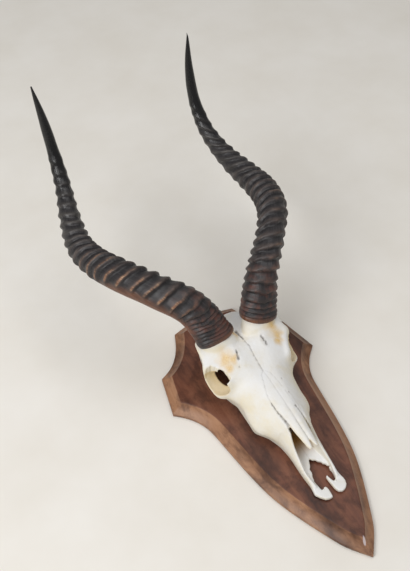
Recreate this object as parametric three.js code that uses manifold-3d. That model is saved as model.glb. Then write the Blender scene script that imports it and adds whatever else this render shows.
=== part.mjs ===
// Kob skull mount: an upper skull with two ridged horns, screwed to a pointed wooden shield.
// Millimetres. The shield lies on its back: z = 0 is its back face, +Z points out of the board,
// +Y points from the shield's tip towards the horns, and the skull is symmetrical about x = 0.

import * as THREE from 'three';
import { mergeVertices } from 'three/addons/utils/BufferGeometryUtils.js';
import Module from 'manifold-3d';

const wasm = await Module();
wasm.setup();

// Driving dimensions

const GAP = 0.35;
const MERGE_DISTANCE = 1e-4;

const SHIELD_THICKNESS = 16;
const SHIELD_EDGE = 4.5;
const SHIELD_BEVEL = 13;
const SHIELD_TIP = [0, -187.5];
const SHIELD_POINT = [14.5, -170];
const SHIELD_SIDE = [[26, -151], [53, -89], [65, -40], [75, 36]];
const SHIELD_SWEEP = [80, 62];
const SHIELD_LOWER_EAR = [105, 81];
const SHIELD_UPPER_EAR = [92.5, 134];
const SHIELD_SCOOP = [60, 143];
const SHIELD_TOP_CORNER = [44.5, 187.5];
const SHIELD_CROWN = 194.5;
const SHIELD_HUB = 95;
const SHIELD_CURVE_STEPS = 6;

const SKULL_BASE = SHIELD_THICKNESS + GAP;
const SAW_ROOM = 600;
// Half width at the saw cut, place along the skull and height of the ridge of the nose.
const SKULL_STATIONS = [
  [34, 141, 44], [44, 132, 68], [50, 112, 84], [50, 92, 88], [46, 74, 84], [42, 50, 74],
  [39, 28, 71.5], [38, 4, 69], [29, -14, 66], [23, -34, 62.5], [17, -63, 57],
];
const SKULL_STEPS = 20;
const SKULL_SIDES = 24;
const SKULL_FLANK = 0.62;
const SKULL_CROWN = 0.8;

// Centre and half sizes of the rounded masses on each side of the skull
const BROW = { at: [35, 82, 70], size: [26, 27, 12] };
const HORN_SEAT = { at: [32, 104, 78], size: [23, 22, 17] };
const CHEEK = { at: [32, 38, 40], size: [14.5, 26, 26] };
const MASS_SIDES = 12;
const MASS_RINGS = 8;

const HOLLOW_SIDES = 18;
const HOLLOW_RINGS = 10;
const BRAIN_HOLLOW = { y: 50, z: 14, halfWidth: 31, halfLength: 57, height: 52 };
const NOSE_HOLLOW = { back: -31, front: -70, floor: 22, roof: 51, halfWidth: 11, sides: 16 };
const NOSE_NOTCH = { inner: 7.5, back: -24, backHeight: 54, front: -70, frontHeight: 34, reach: 40 };

const ORBIT = {
  x: 51, y: 63, z: 57, radius: 17, rim: 3, depth: 28, stretch: 1.12, turn: 0.22, tilt: 0.42,
  rimSides: 6, rimSteps: 22,
};
const CHEEK_BAR = [[57, 78, 50], [55, 96, 44], [47, 118, 42], [38, 130, 40]];
const CHEEK_BAR_RADIUS = 4;
const CHEEK_BAR_STEPS = 8;
const CHEEK_BAR_SIDES = 5;

const JAW_TIP_HEIGHT = 9;
const JAW_TIP_STEPS = 5;
const JAW_TIP = {
  rootBack: -36, rootOuter: 20.5, rootInner: 10, neck: [16.5, -86], bulge: [20.5, -103],
  nose: [10, -111.5], hook: [3, -108], crook: [9, -101], throat: [10, -84],
};

const HORN_BASE = [29, 101, 83];
const HORN_LINE = [
  [50.5, 130, 130], [79, 160, 149], [105, 196, 154], [120.5, 237, 145], [124, 280, 136],
  [117, 323, 141], [107, 361.5, 162], [103, 389.5, 197], [104, 405.5, 239.5], [108, 415.5, 283],
];
// Share of the length and radius of the horn's outer envelope there.
const HORN_TAPER = [
  [0, 21], [0.12, 19], [0.3, 18.4], [0.45, 18], [0.57, 15.5], [0.68, 11.6], [0.78, 8.2],
  [0.88, 5.4], [0.95, 2.8], [1, 0.6],
];
const HORN_RINGS = 22;
const HORN_RINGED_SHARE = 0.74;
const HORN_RING_DEPTH = 1.5;
const HORN_RING_CROWDING = 0.1;
const HORN_TIP_STEPS = 10;
const HORN_SIDES = 14;

const MOUTH_DEPTH = 10;
const SKULL_SCREW = { head: 4.5, shank: 2.2, length: 28, sink: 1.5, sides: 16 };
const SKULL_SCREW_PLACES = { front: -20, back: 121 };

const PLATE = { y: 150, length: 44, width: 16, thickness: 2, endSteps: 10 };
const KEYHOLE = { head: 5.5, slot: 2.6, drop: 9, depth: 10, sides: 16 };
const PLATE_SCREW = { head: 3, shank: 1.4, length: 11, sink: 0.3, sides: 12 };
const PLATE_SCREW_OFFSET = 16;

// Materials

function finish(color, roughness, metalness) {
  return new THREE.MeshStandardMaterial({ color, roughness, metalness });
}

const shieldWood = finish(0x6b3f2c, 0.45, 0);
const bone = finish(0xe6e0cf, 0.7, 0);
const hornKeratin = finish(0x2e2320, 0.4, 0);
const steel = finish(0x9a9a96, 0.35, 1);
const zinc = finish(0xb0afa8, 0.4, 1);

// Solids: closed three.js geometry in, cut or joined geometry out

function solid(geometry) {
  const bare = geometry.index ? geometry.clone() : mergeVertices(geometry.clone());
  bare.deleteAttribute('normal');
  bare.deleteAttribute('uv');
  const merged = mergeVertices(bare, MERGE_DISTANCE);
  const vertProperties = new Float32Array(merged.attributes.position.array);
  const triVerts = new Uint32Array(merged.index.array);
  return new wasm.Manifold(new wasm.Mesh({ numProp: 3, vertProperties, triVerts }));
}

function geometryOf(body) {
  const mesh = body.getMesh();
  const geometry = new THREE.BufferGeometry();
  geometry.setAttribute('position', new THREE.BufferAttribute(new Float32Array(mesh.vertProperties), 3));
  geometry.setIndex(new THREE.BufferAttribute(new Uint32Array(mesh.triVerts), 1));
  return geometry;
}

function box(width, length, height, x, y, z) {
  return solid(new THREE.BoxGeometry(width, length, height).translate(x, y, z));
}

// A capped tube whose every ring is placed by a rule from share along it, angle and share of its radius
function ruledTube(sides, steps, place) {
  const geometry = new THREE.CylinderGeometry(1, 1, 1, sides, steps);
  const position = geometry.attributes.position;
  for (let i = 0; i < position.count; i += 1) {
    const along = 0.5 - position.getY(i);
    const radius = Math.hypot(position.getX(i), position.getZ(i));
    const angle = Math.atan2(position.getX(i), position.getZ(i));
    const point = place(along, angle, radius);
    position.setXYZ(i, point.x, point.y, point.z);
  }
  return geometry;
}

// Shield

function shieldShape() {
  const corner = ([x, y], side) => new THREE.Vector2(side * x, y);
  const shape = new THREE.Shape();
  shape.moveTo(...SHIELD_TIP);
  shape.lineTo(...SHIELD_POINT);
  shape.splineThru(SHIELD_SIDE.map((point) => corner(point, 1)));
  shape.quadraticCurveTo(...SHIELD_SWEEP, ...SHIELD_LOWER_EAR);
  shape.lineTo(...SHIELD_UPPER_EAR);
  shape.quadraticCurveTo(...SHIELD_SCOOP, ...SHIELD_TOP_CORNER);
  const [cornerX, cornerY] = SHIELD_TOP_CORNER;
  const [scoopX, scoopY] = SHIELD_SCOOP;
  const [earX, earY] = SHIELD_UPPER_EAR;
  shape.quadraticCurveTo(0, 2 * SHIELD_CROWN - cornerY, -cornerX, cornerY);
  shape.quadraticCurveTo(-scoopX, scoopY, -earX, earY);
  shape.lineTo(-SHIELD_LOWER_EAR[0], SHIELD_LOWER_EAR[1]);
  const sideStart = SHIELD_SIDE[SHIELD_SIDE.length - 1];
  shape.quadraticCurveTo(-SHIELD_SWEEP[0], SHIELD_SWEEP[1], -sideStart[0], sideStart[1]);
  const wayBack = SHIELD_SIDE.slice(0, -1).reverse();
  shape.splineThru([...wayBack, SHIELD_POINT].map((point) => corner(point, -1)));
  shape.lineTo(...SHIELD_TIP);
  return shape;
}

// The same loop moved inwards by the bevel, with its corners mitred
function insetLoop(loop, distance) {
  return loop.map((point, k) => {
    const before = loop[(k + loop.length - 1) % loop.length];
    const after = loop[(k + 1) % loop.length];
    const arriving = point.clone().sub(before).normalize();
    const leaving = after.clone().sub(point).normalize();
    const inward = new THREE.Vector2(-arriving.y - leaving.y, arriving.x + leaving.x).normalize();
    const mitre = distance / (inward.y * arriving.x - inward.x * arriving.y);
    return point.clone().addScaledVector(inward, mitre);
  });
}

function shieldBoard() {
  const outline = shieldShape().getPoints(SHIELD_CURVE_STEPS).slice(0, -1);
  const levels = [
    { loop: insetLoop(outline, SHIELD_BEVEL), z: SHIELD_THICKNESS },
    { loop: outline, z: SHIELD_EDGE },
    { loop: outline, z: 0 },
  ];
  const place = (along, angle, radius) => {
    const { loop, z } = levels[Math.round(along * (levels.length - 1))];
    const turn = (angle / (2 * Math.PI) + 1) * loop.length;
    const hub = new THREE.Vector2(0, SHIELD_HUB);
    const point = hub.lerp(loop[Math.round(turn) % loop.length], radius);
    return new THREE.Vector3(point.x, point.y, z);
  };
  return solid(ruledTube(outline.length, levels.length - 1, place));
}

// Screws: countersunk, seen from below, head at the bottom

function screwGeometry({ head, shank, length, sides }, grow) {
  const cone = head - shank;
  const profile = [
    new THREE.Vector2(0, -grow),
    new THREE.Vector2(head + grow, -grow),
    new THREE.Vector2(head + grow, grow),
    new THREE.Vector2(shank + grow, cone + grow),
    new THREE.Vector2(shank + grow, length - 2 * shank),
    new THREE.Vector2(0, length + grow),
  ];
  return new THREE.LatheGeometry(profile, sides).rotateX(Math.PI / 2);
}

function screwHole(screw, x, y) {
  const mouth = new THREE.CylinderGeometry(screw.head + GAP, screw.head + GAP, MOUTH_DEPTH, screw.sides);
  mouth.rotateX(Math.PI / 2).translate(x, y, screw.sink - MOUTH_DEPTH / 2);
  const bore = screwGeometry(screw, GAP).translate(x, y, screw.sink);
  return solid(bore).add(solid(mouth));
}

// Keyhole hanger plate, flush with the back

function plateShape(grow) {
  const half = PLATE.width / 2 + grow;
  const reach = PLATE.length / 2 - PLATE.width / 2;
  const shape = new THREE.Shape();
  shape.absarc(reach, 0, half, -Math.PI / 2, Math.PI / 2, false);
  shape.absarc(-reach, 0, half, Math.PI / 2, 1.5 * Math.PI, false);
  return shape;
}

function plateBlank(grow, bottom, top) {
  const depth = top - bottom;
  const options = { depth, bevelEnabled: false, curveSegments: PLATE.endSteps };
  const slab = new THREE.ExtrudeGeometry(plateShape(grow), options);
  return solid(slab.translate(0, PLATE.y, bottom));
}

// Entry hole for a wall screw's head, and the slot above it that the screw slides into
function keyholeCut(slot) {
  const { head, drop, depth, sides } = KEYHOLE;
  const entry = new THREE.CylinderGeometry(head, head, 2 * depth, sides);
  entry.rotateX(Math.PI / 2).translate(0, PLATE.y - drop / 2, 0);
  return solid(entry).add(box(2 * slot, drop, 2 * depth, 0, PLATE.y, 0));
}

// Skull

const stationPoints = SKULL_STATIONS.map(([halfWidth, y, top]) => new THREE.Vector3(halfWidth, y, top));
const stationCurve = new THREE.CatmullRomCurve3(stationPoints);

function skullShell() {
  const place = (along, angle, radius) => {
    const { x: halfWidth, y, z: top } = stationCurve.getPoint(along);
    const up = Math.cos(angle);
    const side = Math.sin(angle);
    const arch = up > 0 ? (top - SKULL_BASE) * up ** SKULL_FLANK : 0;
    const reach = up > 0 ? Math.sign(side) * Math.abs(side) ** SKULL_CROWN : side;
    return new THREE.Vector3(radius * halfWidth * reach, y, SKULL_BASE + radius * arch);
  };
  return solid(ruledTube(SKULL_SIDES, SKULL_STEPS, place));
}

function roundedMass({ at: [x, y, z], size }, side) {
  const ball = new THREE.SphereGeometry(1, MASS_SIDES, MASS_RINGS).rotateX(Math.PI / 2);
  return solid(ball.scale(...size).translate(side * x, y, z));
}

function orbitFrame(geometry, side) {
  return geometry
    .rotateX(-ORBIT.turn)
    .rotateY(side * (Math.PI / 2 - ORBIT.tilt))
    .translate(side * ORBIT.x, ORBIT.y, ORBIT.z);
}

function orbitRim(side) {
  const ring = new THREE.TorusGeometry(ORBIT.radius, ORBIT.rim, ORBIT.rimSides, ORBIT.rimSteps);
  return solid(orbitFrame(ring.scale(1, ORBIT.stretch, 1), side));
}

function orbitSocket(side) {
  const across = ORBIT.radius - ORBIT.rim / 2;
  const socket = new THREE.SphereGeometry(1, HOLLOW_SIDES, HOLLOW_RINGS);
  socket.scale(across, across * ORBIT.stretch, ORBIT.depth);
  return solid(orbitFrame(socket, side));
}

function cheekBar(side) {
  const points = CHEEK_BAR.map(([x, y, z]) => new THREE.Vector3(side * x, y, z));
  const extrudePath = new THREE.CatmullRomCurve3(points);
  const section = new THREE.Shape().absarc(0, 0, CHEEK_BAR_RADIUS, 0, 2 * Math.PI, false);
  const options = { extrudePath, steps: CHEEK_BAR_STEPS, curveSegments: CHEEK_BAR_SIDES };
  return solid(new THREE.ExtrudeGeometry(section, options));
}

function jawTip(side) {
  const { rootBack, rootOuter, rootInner, neck, bulge, nose, hook, crook, throat } = JAW_TIP;
  const at = ([x, y]) => new THREE.Vector2(side * x, y);
  const shape = new THREE.Shape();
  shape.moveTo(side * rootInner, rootBack);
  shape.lineTo(side * rootOuter, rootBack);
  shape.splineThru([neck, bulge, nose, hook].map(at));
  shape.splineThru([crook, throat].map(at));
  shape.closePath();
  const options = { depth: JAW_TIP_HEIGHT, bevelEnabled: false, curveSegments: JAW_TIP_STEPS };
  const slab = new THREE.ExtrudeGeometry(shape, options);
  return solid(slab.translate(0, 0, SKULL_BASE));
}

function brainHollow() {
  const { y, z, halfWidth, halfLength, height } = BRAIN_HOLLOW;
  const hollow = new THREE.SphereGeometry(1, HOLLOW_SIDES, HOLLOW_RINGS + 2);
  return solid(hollow.scale(halfWidth, halfLength, height).translate(0, y, z));
}

function noseHollow() {
  const { back, front, floor, roof, halfWidth } = NOSE_HOLLOW;
  const length = back - front;
  const tunnel = new THREE.CylinderGeometry(1, 1, length, NOSE_HOLLOW.sides);
  tunnel.scale(halfWidth, 1, (roof - floor) / 2);
  return solid(tunnel.translate(0, (back + front) / 2, (roof + floor) / 2));
}

// Cut beside the nasal bones, so that their tips stand out over the open nose
function noseNotch(side) {
  const { inner, back, backHeight, front, frontHeight, reach } = NOSE_NOTCH;
  const profile = new THREE.Shape();
  profile.moveTo(back, backHeight);
  profile.lineTo(front, frontHeight);
  profile.lineTo(front, backHeight + reach);
  profile.lineTo(back, backHeight + reach);
  const wedge = new THREE.ExtrudeGeometry(profile, { depth: reach, bevelEnabled: false });
  wedge.rotateX(Math.PI / 2).rotateZ(Math.PI / 2);
  return solid(wedge.translate(side > 0 ? inner : -inner - reach, 0, 0));
}

// Horns

const taperPoints = HORN_TAPER.map(([share, radius]) => new THREE.Vector2(share, radius));
const taperCurve = new THREE.SplineCurve(taperPoints);

function taperAt(share) {
  const pieces = HORN_TAPER.length - 1;
  let k = HORN_TAPER.findIndex(([start]) => start > share);
  k = k < 0 ? pieces : k;
  const [from] = HORN_TAPER[k - 1];
  const [to] = HORN_TAPER[k];
  return taperCurve.getPoint((k - 1 + (share - from) / (to - from)) / pieces).y;
}

// Rings stand close at the base and widest apart in the middle; two steps each, crest and groove
function hornShare(step, steps) {
  const ringSteps = steps - HORN_TIP_STEPS;
  if (step > ringSteps) {
    return HORN_RINGED_SHARE + ((1 - HORN_RINGED_SHARE) * (step - ringSteps)) / HORN_TIP_STEPS;
  }
  const even = step / ringSteps;
  return HORN_RINGED_SHARE * (even - HORN_RING_CROWDING * Math.sin(Math.PI * even));
}

function horn(side, grow) {
  const points = [HORN_BASE, ...HORN_LINE].map(([x, y, z]) => new THREE.Vector3(side * x, y, z));
  const line = new THREE.CatmullRomCurve3(points);
  const steps = 2 * HORN_RINGS + HORN_TIP_STEPS;
  const frames = line.computeFrenetFrames(steps);
  const place = (along, angle, radius) => {
    const step = Math.round(along * steps);
    const share = hornShare(step, steps);
    const ringed = step <= 2 * HORN_RINGS;
    const groove = ringed && step % 2 === 0 ? HORN_RING_DEPTH : 0;
    const thick = radius * (taperAt(share) - groove + grow);
    const frame = Math.round(share * steps);
    const point = line.getPointAt(share);
    const lowest = step === 0 ? -grow : 0;
    point.addScaledVector(frames.tangents[frame], lowest);
    point.addScaledVector(frames.normals[frame], thick * Math.sin(angle));
    return point.addScaledVector(frames.binormals[frame], thick * Math.cos(angle));
  };
  return solid(ruledTube(HORN_SIDES, steps, place));
}

// Assembly

const plateScrewPlaces = { left: -PLATE_SCREW_OFFSET, right: PLATE_SCREW_OFFSET };
const screwPlaces = Object.values(SKULL_SCREW_PLACES);

let board = shieldBoard();
let skull = skullShell();
for (const side of [-1, 1]) {
  skull = skull.subtract(noseNotch(side));
  for (const mass of [BROW, HORN_SEAT, CHEEK]) {
    skull = skull.add(roundedMass(mass, side));
  }
  skull = skull.add(orbitRim(side)).add(cheekBar(side)).add(jawTip(side));
}
for (const side of [-1, 1]) {
  skull = skull.subtract(orbitSocket(side)).subtract(horn(side, GAP));
}
skull = skull.subtract(brainHollow()).subtract(noseHollow());
for (const y of screwPlaces) {
  skull = skull.subtract(screwHole(SKULL_SCREW, 0, y));
  board = board.subtract(screwHole(SKULL_SCREW, 0, y));
}
skull = skull.subtract(box(SAW_ROOM, SAW_ROOM, SAW_ROOM, 0, 0, SKULL_BASE - SAW_ROOM / 2));

const plateTop = PLATE.thickness;
board = board.subtract(plateBlank(GAP, -plateTop, plateTop + GAP)).subtract(keyholeCut(KEYHOLE.head));
let plate = plateBlank(0, GAP, plateTop).subtract(keyholeCut(KEYHOLE.slot));
for (const x of Object.values(plateScrewPlaces)) {
  plate = plate.subtract(screwHole(PLATE_SCREW, x, PLATE.y));
  board = board.subtract(screwHole(PLATE_SCREW, x, PLATE.y));
}

const mount = new THREE.Group();

function addNode(name, geometry, material) {
  const mesh = new THREE.Mesh(geometry, material);
  mesh.name = name;
  mount.add(mesh);
  return mesh;
}

addNode('shield', geometryOf(board), shieldWood);
addNode('skull', geometryOf(skull), bone);
addNode('horn_left', geometryOf(horn(-1, 0)), hornKeratin);
addNode('horn_right', geometryOf(horn(1, 0)), hornKeratin);
for (const [end, y] of Object.entries(SKULL_SCREW_PLACES)) {
  const screw = addNode(`skull_screw_${end}`, geometryOf(solid(screwGeometry(SKULL_SCREW, 0))), steel);
  screw.position.set(0, y, SKULL_SCREW.sink);
}
addNode('hanger_plate', geometryOf(plate), zinc);
for (const [end, x] of Object.entries(plateScrewPlaces)) {
  const screw = addNode(`hanger_screw_${end}`, geometryOf(solid(screwGeometry(PLATE_SCREW, 0))), steel);
  screw.position.set(x, PLATE.y, PLATE_SCREW.sink);
}

export default mount;
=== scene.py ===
# %% [markdown]
# # A kob skull mount
# The upper skull of a kob, with both horns on it, is screwed from behind to a pointed wooden shield.
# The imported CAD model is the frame: it says where the board, the skull and the horns are. This lesson
# models each of them again, with the grain, rings, sutures and chips that the CAD solids leave out.

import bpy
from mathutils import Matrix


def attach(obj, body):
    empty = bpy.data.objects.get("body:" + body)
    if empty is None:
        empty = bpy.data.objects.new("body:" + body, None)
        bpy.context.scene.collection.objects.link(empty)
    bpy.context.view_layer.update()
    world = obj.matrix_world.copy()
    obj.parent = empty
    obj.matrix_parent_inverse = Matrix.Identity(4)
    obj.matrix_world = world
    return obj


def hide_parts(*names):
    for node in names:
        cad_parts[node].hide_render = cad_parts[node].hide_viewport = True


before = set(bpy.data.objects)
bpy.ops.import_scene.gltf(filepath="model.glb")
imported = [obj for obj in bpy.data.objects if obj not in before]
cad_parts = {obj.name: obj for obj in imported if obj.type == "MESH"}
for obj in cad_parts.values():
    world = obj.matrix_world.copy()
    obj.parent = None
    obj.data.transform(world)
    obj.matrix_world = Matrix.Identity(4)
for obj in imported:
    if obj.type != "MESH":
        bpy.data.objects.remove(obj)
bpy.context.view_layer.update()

# %% [markdown]
# The mount was measured in millimetres and Blender works in metres, so one helper turns a measured
# place into a vector. The origin is on the board's back, +Y points from the tip to the horns.

# %% Measures
import math

import bmesh
import bpy
from mathutils import Matrix, Vector, noise

MM = 0.001


def mm(x, y, z=0.0):
    """A place on the mount, given in millimetres."""
    return Vector((x, y, z)) * MM


# %% [markdown]
# The camera stands to the left of the board's tip and looks down on the mount. Its place and lens
# were found by matching the corners of the board and the tips of the horns.

# %% Camera
LENS = 52.58
SENSOR = 36.0
CAMERA_PLACE = mm(-340.0, -403.5, 903.5)
CAMERA_TURN = (math.radians(39.647), 0.0, math.radians(-30.075))

camera_lens = bpy.data.cameras.new("photo_camera")
camera_lens.lens = LENS
camera_lens.sensor_width = SENSOR
camera = bpy.data.objects.new("photo_camera", camera_lens)
camera.location = CAMERA_PLACE
camera.rotation_euler = CAMERA_TURN
bpy.context.scene.collection.objects.link(camera)
bpy.context.scene.camera = camera
print("camera at", tuple(camera.location))

# %% [markdown]
# Light is soft and comes mostly from the left of the camera, so a wide soft box stands there, a wider
# one hangs overhead and a little to the right, and the bright room is a pale world colour. The view
# transform is the plain one, because a filmic one would grey the bone.

# %% Light
KEY_PLACE = mm(-1500, -350, 1500)
TOP_PLACE = mm(250, 100, 2200)
AIM = mm(0, 80, 60)
ROOM_COLOR = (1.0, 0.995, 0.985, 1.0)
ROOM_STRENGTH = 0.3


def soft_box(name, place, size, power):
    """A square area light that looks at the middle of the mount."""
    lamp = bpy.data.lights.new(name, "AREA")
    lamp.size = size
    lamp.energy = power
    holder = bpy.data.objects.new(name, lamp)
    holder.location = place
    holder.rotation_euler = (AIM - place).to_track_quat("-Z", "Y").to_euler()
    bpy.context.scene.collection.objects.link(holder)


soft_box("key_light", KEY_PLACE, size=1.1, power=24.0)
soft_box("top_light", TOP_PLACE, size=1.8, power=16.0)
room = bpy.data.worlds.new("pale_room")
room.use_nodes = True
room_glow = room.node_tree.nodes["Background"]
room_glow.inputs["Color"].default_value = ROOM_COLOR
room_glow.inputs["Strength"].default_value = ROOM_STRENGTH
bpy.context.scene.world = room
bpy.context.scene.view_settings.view_transform = "Standard"
print("lights", [light.name for light in bpy.data.lights])

# %% [markdown]
# Every finish here is a mix of a few noises and ramps. A small class gives short words for the nodes
# they are made of, so that a finish reads like a recipe. Constant values stay on the shader's sockets.

# %% Words for finishes
MIX_FACTOR, MIX_UNDER, MIX_OVER, MIX_RESULT = 0, 6, 7, 2


def shade(red, green, blue):
    """A colour as seen on a screen, 0 to 255, turned into the light values that Blender mixes."""
    light = []
    for value in (red, green, blue):
        share = value / 255.0
        light.append(share / 12.92 if share <= 0.04045 else ((share + 0.055) / 1.055) ** 2.4)
    return (*light, 1.0)


class Finish:
    """A material in the making."""

    def __init__(self, name, constants=None):
        self.material = bpy.data.materials.new(name)
        self.material.use_nodes = True
        self.tree = self.material.node_tree
        self.shader = self.tree.nodes["Principled BSDF"]
        for socket, value in (constants or {}).items():
            self.shader.inputs[socket].default_value = value

    def feed(self, socket, value):
        if isinstance(value, bpy.types.NodeSocket):
            self.tree.links.new(value, socket)
        else:
            socket.default_value = value

    def node(self, kind, values=None, **settings):
        made = self.tree.nodes.new("ShaderNode" + kind)
        for setting, value in settings.items():
            setattr(made, setting, value)
        for socket, value in (values or {}).items():
            self.feed(made.inputs[socket], value)
        return made

    def place(self, scale=(1.0, 1.0, 1.0), turn=(0.0, 0.0, 0.0)):
        where = self.node("TexCoord").outputs["Object"]
        return self.node("Mapping", {"Vector": where, "Scale": scale, "Rotation": turn}).outputs["Vector"]

    def patch(self, centre, radii, turn=(0.0, 0.0, 0.0)):
        """How far from the centre of a stretched ball, 1 on its skin."""
        where = self.node("TexCoord").outputs["Object"]
        values = {"Vector": where, "Location": centre, "Rotation": turn, "Scale": radii}
        inside = self.node("Mapping", values, vector_type="TEXTURE").outputs["Vector"]
        return self.node("VectorMath", {0: inside}, operation="LENGTH").outputs["Value"]

    def attribute(self, name, output="Fac"):
        return self.node("Attribute", attribute_name=name).outputs[output]

    def noise(self, where, scale=1.0, detail=4.0, rough=0.55, swirl=0.0):
        values = {"Vector": where, "Scale": scale, "Detail": detail, "Roughness": rough, "Distortion": swirl}
        return self.node("TexNoise", values).outputs["Fac"]

    def ramp(self, factor, *stops):
        made = self.node("ValToRGB", {"Fac": factor})
        elements = made.color_ramp.elements
        while len(elements) < len(stops):
            elements.new(0.5)
        for element, (position, color) in zip(elements, stops):
            element.position = position
            element.color = shade(*color)
        return made.outputs["Color"]

    def level(self, factor, low, high, start=0.0, end=1.0):
        values = {"Value": factor, 1: low, 2: high, 3: start, 4: end}
        return self.node("MapRange", values).outputs["Result"]

    def mix(self, factor, under, over, blend="MIX"):
        values = {MIX_FACTOR: factor, MIX_UNDER: under, MIX_OVER: over}
        return self.node("Mix", values, data_type="RGBA", blend_type=blend).outputs[MIX_RESULT]

    def times(self, first, second):
        return self.node("Math", {0: first, 1: second}, operation="MULTIPLY").outputs[0]

    def plus(self, first, second):
        return self.node("Math", {0: first, 1: second}, operation="ADD").outputs[0]

    def bump(self, height, strength, distance, under=None):
        made = self.node("Bump", {"Height": height, "Strength": strength, "Distance": distance})
        if under is not None:
            self.feed(made.inputs["Normal"], under)
        return made.outputs["Normal"]

    def wear(self, color=None, roughness=None, normal=None):
        for socket, value in (("Base Color", color), ("Roughness", roughness), ("Normal", normal)):
            if value is not None:
                self.feed(self.shader.inputs[socket], value)


# %% [markdown]
# Several steps repeat for every piece: run a draft mesh through modifiers, take cutters out of it and
# keep the result, and hand a finished mesh over as a piece that rides on the root body.

# %% Workshop helpers
SMOOTH_EDGE = math.radians(38.0)


def hold(name, build):
    """Puts a bmesh into the scene as a draft object and frees the bmesh."""
    mesh = bpy.data.meshes.new(name)
    build.to_mesh(mesh)
    build.free()
    holder = bpy.data.objects.new(name, mesh)
    bpy.context.scene.collection.objects.link(holder)
    return holder


def shaped(holder, steps=(), cutters=()):
    """The mesh that a draft becomes once modifiers and then cutters have worked on it; the drafts go."""
    cuts = [("BOOLEAN", {"object": item, "operation": "DIFFERENCE", "solver": "EXACT"}) for item in cutters]
    for kind, settings in [*steps, *cuts]:
        modifier = holder.modifiers.new(kind.title(), kind)
        for key, value in settings.items():
            setattr(modifier, key, value)
    graph = bpy.context.evaluated_depsgraph_get()
    mesh = bpy.data.meshes.new_from_object(holder.evaluated_get(graph))
    mesh.name = holder.name
    for draft in (holder, *cutters):
        bpy.data.objects.remove(draft)
    return mesh


def finished(name, mesh, node, material, sharp=SMOOTH_EDGE):
    """A piece that stands for a CAD node and rides on the root body."""
    mesh.materials.clear()
    mesh.materials.append(material)
    mesh.shade_smooth()
    mesh.set_sharp_from_angle(angle=sharp)
    piece = bpy.data.objects.new(name, mesh)
    bpy.context.scene.collection.objects.link(piece)
    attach(piece, "root")
    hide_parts(node)
    print(name, len(mesh.polygons), "faces")


def loft(build, rings):
    """Skins rings of equal count, one extrusion to a ring; gives the vertex rings and the two end faces."""
    ring = bmesh.ops.create_circle(build, segments=len(rings[0]), radius=MM)["verts"]
    grown_rings = [ring]
    for vert, point in zip(ring, rings[0]):
        vert.co = point
    for points in rings[1:]:
        edges = [build.edges.get(pair) for pair in zip(ring, ring[1:] + ring[:1])]
        grown = bmesh.ops.extrude_edge_only(build, edges=edges)["geom"]
        fresh = {item for item in grown if isinstance(item, bmesh.types.BMVert)}
        ring = [next(v for v in (e.other_vert(old) for e in old.link_edges) if v in fresh) for old in ring]
        for vert, point in zip(ring, points):
            vert.co = point
        grown_rings.append(ring)
    ends = (build.faces.new(grown_rings[0]), build.faces.new(ring))
    bmesh.ops.recalc_face_normals(build, faces=build.faces)
    return grown_rings, ends


def paint(mesh, **layers):
    """Stores named numbers, one per vertex, for a finish to read."""
    for name, values in layers.items():
        mesh.attributes.new(name, "FLOAT", "POINT").data.foreach_set("value", values)


# %% [markdown]
# The mount lies on a plain pale floor. It is a grid of one face, a hair below the board's back so that
# the two don't share a plane, with a faint mottle so that it isn't a flat colour.

# %% Floor
FLOOR_HALF = 4.0
FLOOR_DROP = mm(0, 0, -0.4)

floor_finish = Finish("pale_floor", {"Roughness": 0.7})
floor_mottle = floor_finish.noise(floor_finish.place(), scale=9.0, detail=3.0)
floor_color = floor_finish.ramp(floor_mottle, (0.3, (236, 231, 222)), (0.7, (242, 238, 231)))
floor_finish.wear(floor_color)

floor_build = bmesh.new()
bmesh.ops.create_grid(floor_build, x_segments=1, y_segments=1, size=FLOOR_HALF)
bmesh.ops.translate(floor_build, verts=floor_build.verts, vec=FLOOR_DROP)
floor = hold("floor", floor_build)
floor.data.materials.append(floor_finish.material)
print("floor", FLOOR_HALF * 2, "m square")

# %% [markdown]
# Curves come from a few measured places. A spline passes through every one of them, and a bend is the
# simple curve with one control point that a carpenter's French curve gives.

# %% Curves
def spline(points, steps, closed=False):
    """A smooth run through the points (a Catmull-Rom spline), with a number of steps to each span."""
    if closed:
        run_in, run_out = [points[-1]], [points[0], points[1]]
    else:
        run_in, run_out = [points[0] * 2 - points[1]], [points[-1] * 2 - points[-2]]
    padded = [*run_in, *points, *run_out]
    run = []
    for before, start, end, after in zip(padded, padded[1:], padded[2:], padded[3:]):
        slope = end - before
        sag = before * 2 - start * 5 + end * 4 - after
        twist = start * 3 - before - end * 3 + after
        for step in range(steps):
            t = step / steps
            run.append((start * 2 + slope * t + sag * t**2 + twist * t**3) * 0.5)
    if not closed:
        run.append(points[-1].copy())
    return run


def bend(start, control, end, steps):
    """A curve from start to end that leans towards the control point, without its start."""
    run = []
    for step in range(1, steps + 1):
        t = step / steps
        run.append(start * (1 - t) ** 2 + control * 2 * t * (1 - t) + end * t**2)
    return run


def turns(count):
    """Angles of equal steps round a circle."""
    return [2 * math.pi * step / count for step in range(count)]


def between(table, where):
    """Reads a table of (place, value) pairs with straight lines between them."""
    if where <= table[0][0]:
        return table[0][1]
    for (start, low), (end, high) in zip(table, table[1:]):
        if where <= end:
            return low + (high - low) * (where - start) / (end - start)
    return table[-1][1]


def ease(low, high, value):
    """Rises softly from 0 at low to 1 at high."""
    share = min(max((value - low) / (high - low), 0.0), 1.0)
    return share * share * (3.0 - 2.0 * share)


# %% [markdown]
# ## The shield
# The board is a pointed shield with two ears, cut from one plank, with a coved bevel all round its face.
# It could be swept along its edge, but a sweep has no corner mitres. Here the outline is one face that
# is extruded up to the bevel and then ring by ring inwards, so that every corner keeps its own mitre.

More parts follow.
